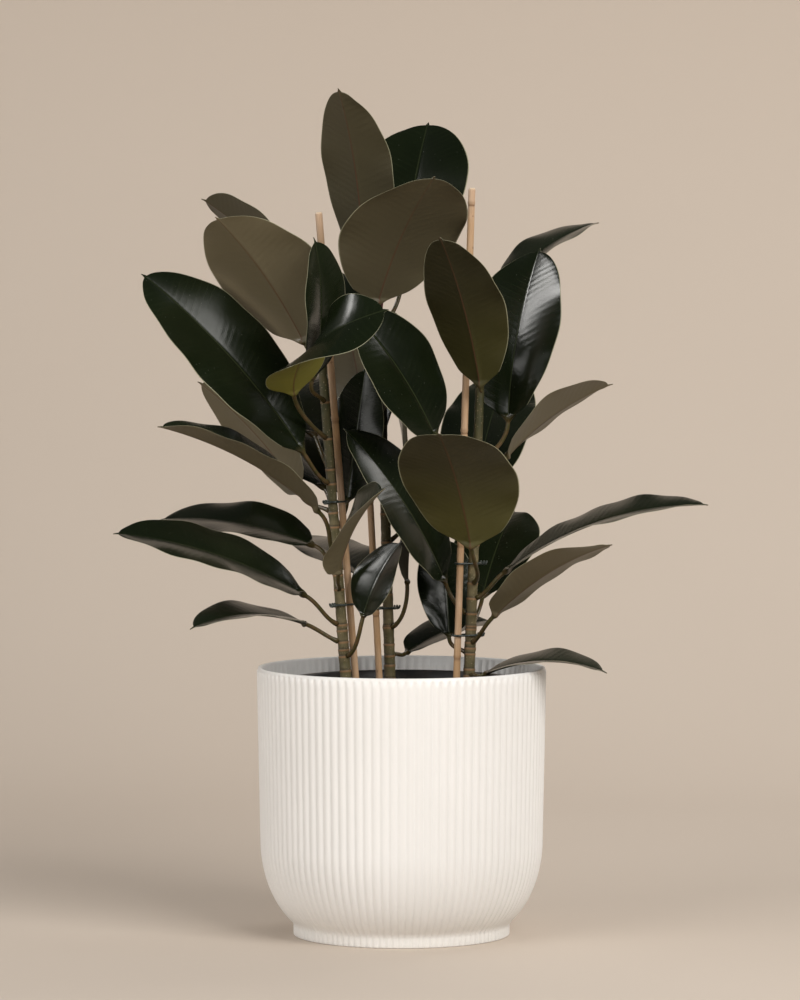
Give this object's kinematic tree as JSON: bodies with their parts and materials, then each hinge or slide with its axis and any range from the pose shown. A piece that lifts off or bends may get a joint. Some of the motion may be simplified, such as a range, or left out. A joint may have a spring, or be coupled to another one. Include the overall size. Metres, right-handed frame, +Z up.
{
  "type": "potted rubber plant",
  "caption": "Bushy dark-leaved rubber plant, its stems tied to bamboo canes, growing in a nursery pot that stands inside a white fluted cover pot.",
  "frame": {"origin": "centre of the cover pot's flat underside", "axes": "+Z up along the pot's axis, +X right and -Y towards the front"},
  "size_m": [0.6138, 0.4605, 0.8814],
  "materials": {
    "white_plastic": "satin",
    "black_plastic": "satin",
    "potting_soil": "matte",
    "stem_bark": "matte",
    "bamboo": "satin",
    "tie_plastic": "satin",
    "bud_sheath": "satin",
    "leaf": "gloss"
  },
  "bodies": {
    "root": {"bud_left": "bud_sheath", "bud_middle": "bud_sheath", "bud_right": "bud_sheath", "cane_left": "bamboo", "cane_middle": "bamboo", "cane_right": "bamboo", "cover_pot": "white_plastic", "leaf_left_01": "leaf", "leaf_left_02": "leaf", "leaf_left_03": "leaf", "leaf_left_04": "leaf", "leaf_left_05": "leaf", "leaf_left_06": "leaf", "leaf_left_07": "leaf", "leaf_left_08": "leaf", "leaf_left_09": "leaf", "leaf_left_10": "leaf", "leaf_left_11": "leaf", "leaf_left_12": "leaf", "leaf_left_13": "leaf", "leaf_left_14": "leaf", "leaf_left_15": "leaf", "leaf_middle_01": "leaf", "leaf_middle_02": "leaf", "leaf_middle_03": "leaf", "leaf_middle_04": "leaf", "leaf_middle_05": "leaf", "leaf_middle_06": "leaf", "leaf_middle_07": "leaf", "leaf_middle_08": "leaf", "leaf_middle_09": "leaf", "leaf_middle_10": "leaf", "leaf_middle_11": "leaf", "leaf_right_01": "leaf", "leaf_right_02": "leaf", "leaf_right_03": "leaf", "leaf_right_04": "leaf", "leaf_right_05": "leaf", "leaf_right_06": "leaf", "leaf_right_07": "leaf", "leaf_right_08": "leaf", "leaf_right_09": "leaf", "leaf_right_10": "leaf", "leaf_right_11": "leaf", "leaf_right_12": "leaf", "leaf_right_13": "leaf", "nursery_pot": "black_plastic", "potting_soil": "potting_soil", "stem_left": "stem_bark", "stem_middle": "stem_bark", "stem_right": "stem_bark", "tie_left_lower": "tie_plastic", "tie_left_upper": "tie_plastic", "tie_middle_lower": "tie_plastic", "tie_middle_upper": "tie_plastic", "tie_right_lower": "tie_plastic", "tie_right_upper": "tie_plastic"}
  },
  "joints": []
}
